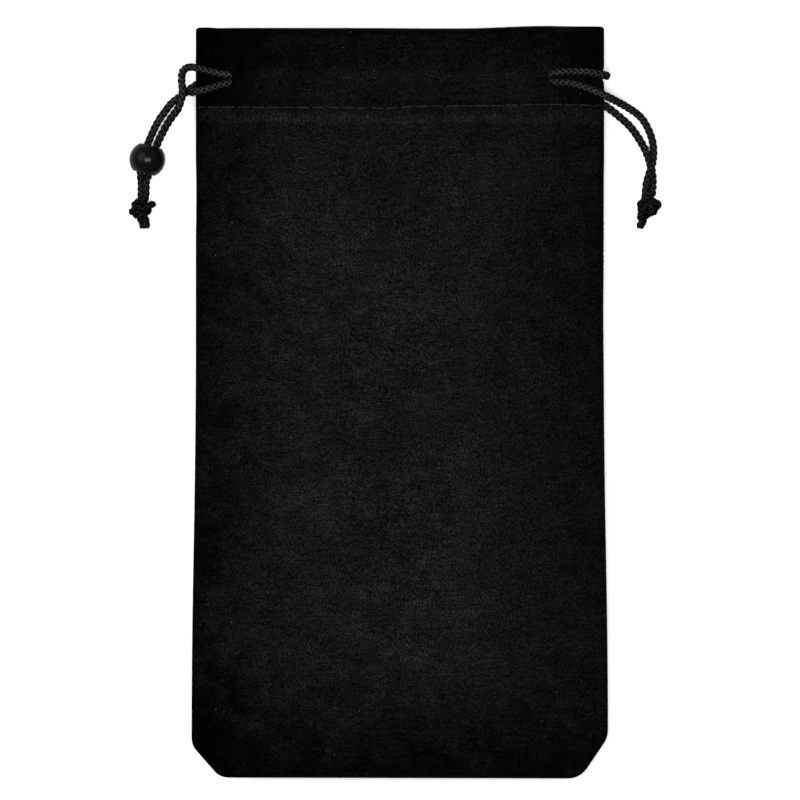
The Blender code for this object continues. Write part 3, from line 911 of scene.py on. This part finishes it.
def stitch_lines(face, side, surface, lift, reach):
    """One short line for each stitch across a half panel. Each dips into the cloth at its two ends."""
    lines = []
    share = np.linspace(-1, 1, 15)
    for k in range(math.ceil(reach / NEEDLE_PITCH - 0.35)):
        start = k * NEEDLE_PITCH + 0.22 * MM
        end = min(reach, (k + 1) * NEEDLE_PITCH - 0.22 * MM)
        x = mix(start, end, (share + 1) / 2)
        y = TOP - stitch_depth(side, x) + 0.08 * MM * math.sin(2.4 * k + side) * share
        y = y + 0.09 * MM * math.sin(0.7 * k + 1.3 * side)
        height = surface(face, side, x, y) + lift - math.copysign(0.34 * MM, lift) * share**6
        lines.append(np.stack([side * x, y, MIDDLE + face * height], axis=1))
    return lines


def make_hem_threads(face, side, material):
    panel = FACES[face]
    reach = {"needle": TOP_HALF - 0.6 * MM, "bobbin": abs(HOLE_X[side]) + 6.2 * MM}
    surfaces = {"needle": (outer_surface, 0.13 * MM), "bobbin": (facing_surface, -0.13 * MM)}
    for kind, (surface, lift) in surfaces.items():
        parts = []
        for line in stitch_lines(face, side, surface, lift, reach[kind]):
            parts += plied(line)
        piece_name = f"{panel}_{kind}_stitches_{SIDES[side]}"
        piece = new_object(piece_name, joined_mesh(piece_name, parts), material)
        gather(piece)
        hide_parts(f"{panel}_hem_{kind}_thread")
    make_overlock(face, side, material)


# One loop of the overlocking, in millimetres: along the hem, from the top, and off the cloth.
OVERLOCK_LOOP = [
    (0, 19.9, 0.12),
    (0.25, 21.5, 0.12),
    (0.5, 23.1, 0.1),
    (0.6, 23.25, -0.3),
    (0.7, 23.1, -0.68),
    (0.8, 22.9, -0.3),
    (0.95, 23.15, 0.1),
    (1.1, 21.5, 0.12),
]


def make_overlock(face, side, material):
    """The looping that covers the hem's raw edge on the inside."""
    pitch = 1.3 * MM
    points = []
    count = int((abs(HOLE_X[side]) + 6 * MM) / pitch)
    for k in range(count):
        x = (k + 0.3) * pitch
        for along, depth, lift in OVERLOCK_LOOP:
            at_x = np.array([x + along * MM])
            at_y = np.array([TOP - depth * MM])
            inside = np.array([max(TOP - BAND_DEPTH, TOP - depth * MM)])
            height = facing_surface(face, side, at_x, inside)[0] - lift * MM
            points.append((side * at_x[0], at_y[0], MIDDLE + face * height))
    line = smooth_route([np.array(p) / MM for p in points], step=0.2)[0] * MM
    name = f"{FACES[face]}_overlock_{SIDES[side]}"
    piece = new_object(name, joined_mesh(name, plied(line)), material)
    gather(piece)
    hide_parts(f"{FACES[face]}_hem_overlock")


def make_seam_stitches(side, material):
    """The lockstitch inside the side and foot seams."""
    inset = 1.4 * MM
    down = np.linspace(TOP - 2.5 * MM, FOOT + CORNER, 200)
    ys = np.concatenate([down, FOOT + CORNER - CORNER * np.linspace(0, 1, 30)])
    line = [(half_width(side, np.array(y)) - inset, max(y, FOOT + inset), MIDDLE) for y in ys]
    line += [(x, FOOT + inset, MIDDLE) for x in np.linspace(line[-1][0], 0.5 * MM, 60)[1:]]
    line = resampled(line, 0.2 * MM)
    parts = []
    for k in range(int(len(line) / 13)):
        stitch = line[k * 13 : k * 13 + 11] * np.array([side, 1, 1])
        if len(stitch) > 3:
            parts += plied(stitch)
    name = f"seam_stitches_{SIDES[side]}"
    piece = new_object(name, joined_mesh(name, parts), material)
    gather(piece)
    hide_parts("seam_thread")


# ---------------------------------------------------------------- the bead


def make_bead(material):
    """A turned ball whose hole has rounded lips, in the CAD bead's place."""
    low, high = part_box("cord_bead")
    radius, hole, lip = BEAD_RADIUS, BEAD_HOLE_RADIUS, BEAD_LIP
    start = math.asin((hole + lip) / radius)
    half_length = radius * math.cos(start)
    turns = np.linspace(start, math.pi - start, 41)
    profile = [(radius * math.sin(t), radius * math.cos(t)) for t in turns]
    round_lip = np.linspace(0.5, math.pi / 2, 6)
    lips = [(hole + lip - lip * math.sin(t), -half_length + lip - lip * math.cos(t)) for t in round_lip]
    bore = [(hole, y) for y in np.linspace(-half_length + lip, half_length - lip, 9)[1:-1]]
    other = [(r, -y) for r, y in reversed(lips)]
    ring = profile + lips + bore + other
    steps = 72
    points, faces = [], []
    for k in range(steps):
        t = 2 * math.pi * k / steps
        points += [(r * math.cos(t), y, r * math.sin(t)) for r, y in ring]
    count = len(ring)
    for k in range(steps):
        for i in range(count):
            a = k * count + i
            b = k * count + (i + 1) % count
            c = ((k + 1) % steps) * count + (i + 1) % count
            d = ((k + 1) % steps) * count + i
            faces.append((d, c, b, a))
    mesh = mesh_of("bead_ball", points, faces)
    bm = bmesh.new()
    bm.from_mesh(mesh)
    bmesh.ops.recalc_face_normals(bm, faces=bm.faces)
    bm.to_mesh(mesh)
    bm.free()
    mesh.shade_smooth()
    place = ARC_RADIUS * MM
    across = ARC_CENTRE[0] * MM - place * math.cos(BEAD_ANGLE)
    along = ARC_CENTRE[1] * MM + place * math.sin(BEAD_ANGLE)
    centre = Vector((across, along, (low.z + high.z) / 2))
    mesh.transform(Matrix.Translation(centre) @ Matrix.Rotation(-BEAD_ANGLE, 4, "Z"))
    bead = new_object("bead_ball", mesh, material)
    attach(bead, "bead")
    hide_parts("cord_bead")


# ---------------------------------------------------------------- materials


class Shader:
    """A material and short ways to add and join its nodes."""

    def __init__(self, name, **values):
        self.material = bpy.data.materials.new(name)
        self.material.use_nodes = True
        self.tree = self.material.node_tree
        self.bsdf = self.tree.nodes["Principled BSDF"]
        for socket, value in values.items():
            self.bsdf.inputs[socket.replace("_", " ")].default_value = value
        self.coords = self.tree.nodes.new("ShaderNodeTexCoord").outputs["Object"]

    def node(self, kind, **links):
        made = self.tree.nodes.new("ShaderNode" + kind)
        for socket, value in links.items():
            place = made.inputs[socket.replace("_", " ")]
            if isinstance(value, bpy.types.NodeSocket):
                self.tree.links.new(value, place)
            else:
                place.default_value = value
        return made

    def noise(self, scale, detail=2.0, roughness=0.5, vector=None):
        place = vector or self.coords
        made = self.node("TexNoise", Vector=place, Scale=scale, Detail=detail, Roughness=roughness)
        return made.outputs["Fac"]

    def ramp(self, value, low, high, to_low=0.0, to_high=1.0):
        made = self.tree.nodes.new("ShaderNodeMapRange")
        self.tree.links.new(value, made.inputs["Value"])
        limits = {"From Min": low, "From Max": high, "To Min": to_low, "To Max": to_high}
        for socket, number in limits.items():
            made.inputs[socket].default_value = number
        return made.outputs["Result"]

    def maths(self, operation, first, second):
        made = self.tree.nodes.new("ShaderNodeMath")
        made.operation = operation
        for place, value in zip(made.inputs, (first, second)):
            if isinstance(value, bpy.types.NodeSocket):
                self.tree.links.new(value, place)
            else:
                place.default_value = value
        return made.outputs[0]

    def times(self, first, *others):
        """The product, taken from left to right."""
        for other in others:
            first = self.maths("MULTIPLY", first, other)
        return first

    def mixed(self, factor, first, second):
        """A colour between two, each a socket or three numbers."""
        made = self.tree.nodes.new("ShaderNodeMix")
        made.data_type = "RGBA"
        for place, value in ((made.inputs[0], factor), (made.inputs[6], first), (made.inputs[7], second)):
            if isinstance(value, bpy.types.NodeSocket):
                self.tree.links.new(value, place)
            else:
                place.default_value = (*value, 1) if isinstance(value, tuple) else value
        return made.outputs[2]

    def mixed_value(self, factor, first, second):
        """A number between two."""
        return self.maths("ADD", first, self.times(factor, self.maths("SUBTRACT", second, first)))

    def bump(self, height, distance, strength=1.0, onto=None):
        made = self.node("Bump", Height=height, Distance=distance, Strength=strength)
        if onto is not None:
            self.tree.links.new(onto, made.inputs["Normal"])
        return made.outputs["Normal"]

    def set(self, socket, value):
        self.tree.links.new(value, self.bsdf.inputs[socket])


CLOTH_SHINE = 0.036
OVERLOCK_BARS = 2 * math.pi / (1.1 * MM)


def cloth_material():
    """Short-nap black cloth: a mottled pile that hardly scatters light, with painted light and shade by
    place, which raise its colour and specular level in some places.
    """
    s = Shader("black_nap_cloth", Roughness=0.6)
    fine = s.noise(2700, 3, 0.7)
    clump = s.noise(640, 2, 0.5)
    patch = s.noise(55, 3, 0.6)
    blotch = s.noise(190, 3, 0.65)
    stretched = s.node("Mapping", Vector=s.coords, Scale=(0.14, 1.0, 1.0))
    streak = s.noise(1500, 2, 0.6, vector=stretched.outputs["Vector"])
    grain = s.maths("POWER", s.ramp(fine, 0.36, 0.66, 0.36, 1.52), 2.4)
    # Random grain of the pile times painted light and shade by place; it sets the cloth's colour and
    # specular level.
    grain_and_painted_light = s.times(
        grain,
        s.ramp(clump, 0.3, 0.7, 0.72, 1.28),
        s.ramp(streak, 0.35, 0.65, 0.74, 1.26),
        s.ramp(patch, 0.35, 0.65, 0.82, 1.18),
        s.ramp(blotch, 0.35, 0.65, 0.76, 1.24),
        shade_by_place(s),
    )
    colour = s.mixed(grain_and_painted_light, (0.00015, 0.00015, 0.00016), (0.0011, 0.0011, 0.00115))
    s.set("Specular IOR Level", s.times(grain_and_painted_light, CLOTH_SHINE))
    s.set("Base Color", s.mixed(lint(s), colour, (0.034, 0.034, 0.0345)))
    s.set("Roughness", s.ramp(clump, 0.3, 0.7, 0.55, 0.65))
    low = s.bump(clump, 0.00007)
    s.set("Normal", s.bump(fine, 0.00006, onto=low))
    return s.material


def hem_line(s, across, along):
    """Heights measured from the stitching's own sag and slope, so that what follows it bends with it."""
    from_sag = s.maths("ABSOLUTE", s.maths("SUBTRACT", across, STITCH_SAG_X), 0)
    line = s.maths("ADD", along, s.ramp(from_sag, 0, 30 * MM, STITCH_SAG, 0))
    return s.maths("SUBTRACT", line, s.times(across, STITCH_SLOPE))


def hem_shade(s, across, line):
    """Painted light and shade above the stitching: darker to the left and at the right end, lighter over the
    two cords.
    """
    over_cords = s.times(
        s.ramp(line, TOP - 13 * MM, TOP - 11 * MM),
        s.ramp(line, TOP - 10 * MM, TOP - 8 * MM, 1.0, 0.0),
    )
    return s.times(
        s.ramp(line, TOP - 12 * MM, TOP - 8 * MM, 0.6, 0.38),
        s.ramp(across, -47 * MM, -20 * MM, 0.28, 1.0),
        s.ramp(across, 31 * MM, 44 * MM, 1.0, 0.6),
        s.ramp(over_cords, 0.0, 1.0, 1.0, 1.35),
    )


def band_edge_shade(s, across, along):
    """Painted light along the edge of the turned-in band, with lighter bars where the overlocking presses
    through.
    """
    edge_y = TOP - BAND_DEPTH
    bent = s.ramp(s.noise(800, 1), 0.0, 1.0, 0.0, 5.0)
    bars = s.maths("SINE", s.maths("ADD", s.times(across, OVERLOCK_BARS), bent), 0)
    bars = s.times(s.ramp(bars, 0, 1, 0.0, 0.9), s.ramp(s.noise(120, 2), 0.35, 0.65, 0.2, 1.0))
    rows = s.times(
        s.ramp(along, edge_y, edge_y + 0.5 * MM),
        s.ramp(along, edge_y + 1.8 * MM, edge_y + 2.4 * MM, 1.0, 0.0),
    )
    edge = s.ramp(along, edge_y - 0.6 * MM, edge_y + 0.2 * MM)
    return s.times(edge, s.maths("ADD", 0.43, s.times(rows, bars)))


def body_shade(s, across, along, line, stitching):
    """Painted light and shade below the stitching: lightest just under it and along the band's edge, and a
    little lower down.
    """
    edge_y = TOP - BAND_DEPTH
    below = s.times(
        s.ramp(along, edge_y - 25 * MM, edge_y, 1.02, 0.76),
        s.ramp(along, edge_y - 4.5 * MM, edge_y - 1.5 * MM, 1.0, 0.88),
        s.ramp(along, -60 * MM, -10 * MM, 1.07, 1.0),
        s.ramp(line, stitching - 1.9 * MM, stitching - 0.6 * MM, 1.0, 1.4),
    )
    return s.maths("ADD", below, band_edge_shade(s, across, along))


def outer_shade(s, across, along):
    """Painted shade: darker towards the two sides and the foot, and most in the left foot corner, with an
    uneven border.
    """
    uneven = s.ramp(s.noise(95, 3, 0.6), 0.3, 0.7, -6 * MM, 6 * MM)
    inwards = s.maths("ADD", across, uneven)
    sides = s.times(
        s.ramp(inwards, 14 * MM, 46 * MM, 1.0, 0.66),
        s.ramp(inwards, -49 * MM, -29 * MM, 0.3, 1.0),
    )
    foot = s.ramp(s.maths("ADD", along, uneven), FOOT, FOOT + 29 * MM, 0.3, 1.0)
    corner = s.ramp(inwards, -46 * MM, -28 * MM, 0.45, 1.0)
    above_corner = s.ramp(along, FOOT + 12 * MM, FOOT + 26 * MM)
    return s.times(sides, s.times(foot, s.mixed_value(above_corner, corner, 1.0)))


def shade_by_place(s):
    """Painted light and shade: how light the cloth is by where it lies on the pouch.

    The strengths were set by measuring until the render agreed with the photo. Some of it may be
    the photo's own light and not the cloth.
    """
    place = s.node("SeparateXYZ", Vector=s.coords)
    across, along = place.outputs["X"], place.outputs["Y"]
    line = hem_line(s, across, along)
    stitching = TOP - STITCH_DEPTH + STITCH_LIFT
    in_body = s.ramp(line, stitching - 0.5 * MM, stitching, 1.0, 0.0)
    body = body_shade(s, across, along, line, stitching)
    cloth = s.mixed_value(in_body, hem_shade(s, across, line), body)
    shoulders = s.times(shoulder_shade(s, across, 1), shoulder_shade(s, across, -1))
    beside = s.ramp(along, TOP - 40 * MM, TOP - 24 * MM)
    return s.times(cloth, outer_shade(s, across, along), s.mixed_value(beside, 1.0, shoulders))


def shoulder_shade(s, across, side):
    """Painted light and shade: lighter where the cloth starts to slope down beside a hole, and darker where
    it ends.
    """
    start = abs(HOLE_X[side]) - SHOULDER_INSET
    out = s.times(across, side)
    up = s.ramp(out, start, start + 3.5 * MM, 1.0, 2.9 if side > 0 else 1.9)
    down = s.ramp(out, start + 5.5 * MM, start + SHOULDER_RUN, 1.0, 0.3)
    return s.times(up, down)


def lint(s):
    """1 on a few small uneven specks."""
    bent = s.node("TexNoise", Vector=s.coords, Scale=2600.0, Detail=1.0).outputs["Color"]
    cells = s.node("TexVoronoi", Vector=s.mixed(0.00045, s.coords, bent), Scale=520.0)
    near = s.ramp(cells.outputs["Distance"], 0.04, 0.095, 1.0, 0.0)
    shade = s.node("SeparateColor", Color=cells.outputs["Color"])
    chosen = s.ramp(shade.outputs["Red"], 0.7, 0.95)
    return s.times(near, chosen)


def cord_material():
    """Black braided polyester: each strand's filaments run along it, with a painted highlight on its crest.

    They carry painted light on the side that faces up at rest, less of it further down from the pouch and
    least near the knots. As with the cloth, that was set until it agreed with the photo.
    """
    s = Shader("black_braid", Roughness=0.5)
    uv = s.tree.nodes.new("ShaderNodeUVMap")
    uv.uv_map = "strand"
    spread = s.node("Mapping", Vector=uv.outputs["UV"], Scale=(1.2, 14.0, 1.0))
    filaments = s.noise(1.6, 2, 0.5, vector=spread.outputs["Vector"])
    # Painted highlight on each strand's crest, and painted shade on its sides and on the core.
    round_strand = s.node("SeparateXYZ", Vector=uv.outputs["UV"]).outputs["Y"]
    off_crest = s.maths("ABSOLUTE", s.maths("SUBTRACT", round_strand, 0.25), 0)
    crest = s.ramp(off_crest, 0.02, 0.17, 1.0, 0.02)
    wear = s.noise(260, 2)
    lit = s.times(s.ramp(filaments, 0.32, 0.68, 0.3, 1.7), s.ramp(wear, 0.3, 0.7, 0.65, 1.35))
    # Painted light, weaker further down from the pouch and weakest at the knots.
    along = s.node("SeparateXYZ", Vector=s.coords).outputs["Y"]
    free = s.times(
        s.ramp(along, 49 * MM, 51 * MM, 0.62, 1.0),
        s.ramp(along, 66 * MM, 75 * MM, 0.6, 1.0),
    )
    # Painted light on the side of the cord that faces up.
    normal = s.tree.nodes["Texture Coordinate"].outputs["Normal"]
    painted_light_from_above = s.node("SeparateXYZ", Vector=normal).outputs["Z"]
    lit = s.times(lit, crest, s.times(s.ramp(painted_light_from_above, 0.4, 0.9, 0.12, 1.0), free))
    s.set("Base Color", s.mixed(lit, (0.0001, 0.0001, 0.0001), (0.024, 0.024, 0.0245)))
    s.set("Specular IOR Level", s.times(lit, 0.05))
    s.set("Roughness", s.ramp(wear, 0.3, 0.7, 0.42, 0.52))
    s.set("Normal", s.bump(filaments, 0.00004))
    return s.material


def thread_material():
    """Dark grey sewing thread."""
    s = Shader("dark_sewing_thread", Roughness=0.55)
    fibre = s.noise(5200, 2)
    worn = s.times(s.ramp(fibre, 0.3, 0.7), s.ramp(s.noise(420, 1), 0.35, 0.65, 0.3, 1.6))
    s.set("Base Color", s.mixed(worn, (0.003, 0.003, 0.003), (0.020, 0.020, 0.0205)))
    s.set("Specular IOR Level", s.ramp(fibre, 0.3, 0.7, 0.04, 0.09))
    s.set("Roughness", s.ramp(fibre, 0.3, 0.7, 0.48, 0.62))
    s.set("Normal", s.bump(fibre, 0.00003))
    return s.material


def bead_material():
    """Glossy black plastic with faint scuffs and the slight waviness of a moulded surface."""
    s = Shader("glossy_black_bead", Specular_IOR_Level=0.015, Coat_Weight=0.12, Coat_Roughness=0.2)
    waves = s.noise(170, 1)
    scuffs = s.noise(900, 4, 0.7)
    scuffed = s.ramp(scuffs, 0.4, 0.75)
    s.set("Base Color", s.mixed(scuffed, (0.001, 0.001, 0.001), (0.0025, 0.0025, 0.0026)))
    s.set("Roughness", s.ramp(scuffs, 0.35, 0.7, 0.4, 0.5))
    low = s.bump(waves, 0.0003, 0.25)
    s.set("Normal", s.bump(scuffs, 0.000012, onto=low))
    return s.material


def floor_material():
    s = Shader("pale_floor", Roughness=0.8, Specular_IOR_Level=0.2)
    s.set("Base Color", s.mixed(s.ramp(s.noise(30, 2), 0.3, 0.7), (0.88, 0.88, 0.88), (0.90, 0.90, 0.90)))
    return s.material


# ---------------------------------------------------------------- stage


def area_light(name, place, size, power, aim=(0, 0, 0)):
    light = bpy.data.lights.new(name, "AREA")
    light.shape = "ELLIPSE"
    light.size, light.size_y = size
    light.energy = power
    obj = bpy.data.objects.new(name, light)
    bpy.context.scene.collection.objects.link(obj)
    obj.location = place
    way = Vector(aim) - Vector(place)
    obj.rotation_euler = way.to_track_quat("-Z", "Y").to_euler()
    obj.visible_camera = False


def make_stage():
    """A plain pale floor, soft light from all round, small lights overhead and one softbox on the left."""
    bm = bmesh.new()
    bmesh.ops.create_grid(bm, x_segments=8, y_segments=8, size=1.5)
    mesh = bpy.data.meshes.new("floor")
    bm.to_mesh(mesh)
    bm.free()
    floor = new_object("floor", mesh, floor_material())
    floor.location.z = -0.2 * MM
    world = bpy.data.worlds.new("studio")
    world.use_nodes = True
    background = world.node_tree.nodes["Background"]
    background.inputs["Color"].default_value = (1, 1, 1, 1)
    background.inputs["Strength"].default_value = 0.32
    bpy.context.scene.world = world
    for row in (0, 1):
        for column in (-1, 0, 1):
            place = (0.02 + 0.21 * column, -0.11 + 0.17 * row, 1.05)
            area_light(f"overhead_{row}_{column}", place, (0.19, 0.06), 2.6)
    area_light("left_softbox", (-0.5, 0.25, 0.55), (0.75, 0.7), 4.0)


def make_camera():
    """Straight above, through a long lens, with VIEW_HEIGHT of the table in the frame."""
    camera = bpy.data.cameras.new("camera")
    camera.lens = 400
    camera.sensor_width = 36
    camera.clip_start = 0.01
    camera.clip_end = 20
    obj = bpy.data.objects.new("camera", camera)
    bpy.context.scene.collection.objects.link(obj)
    height = FRONT_HIGH.z / 2 + VIEW_HEIGHT / camera.sensor_width * camera.lens
    obj.location = (0, VIEW_CENTRE_Y, height)
    bpy.context.scene.camera = obj
    bpy.context.scene.view_settings.view_transform = "Standard"


def main():
    cloth = cloth_material()
    cord = cord_material()
    thread = thread_material()
    bead = bead_material()
    make_cord(-1, cord)
    make_cord(1, cord)
    make_bead(bead)
    panels = {(face, side): make_half_panel(face, side, cloth) for face in FACES for side in SIDES}
    for (face, side), panel in panels.items():
        make_hem_threads(face, side, thread)
    for side in SIDES:
        make_seam_stitches(side, thread)
    make_stage()
    make_camera()


main()
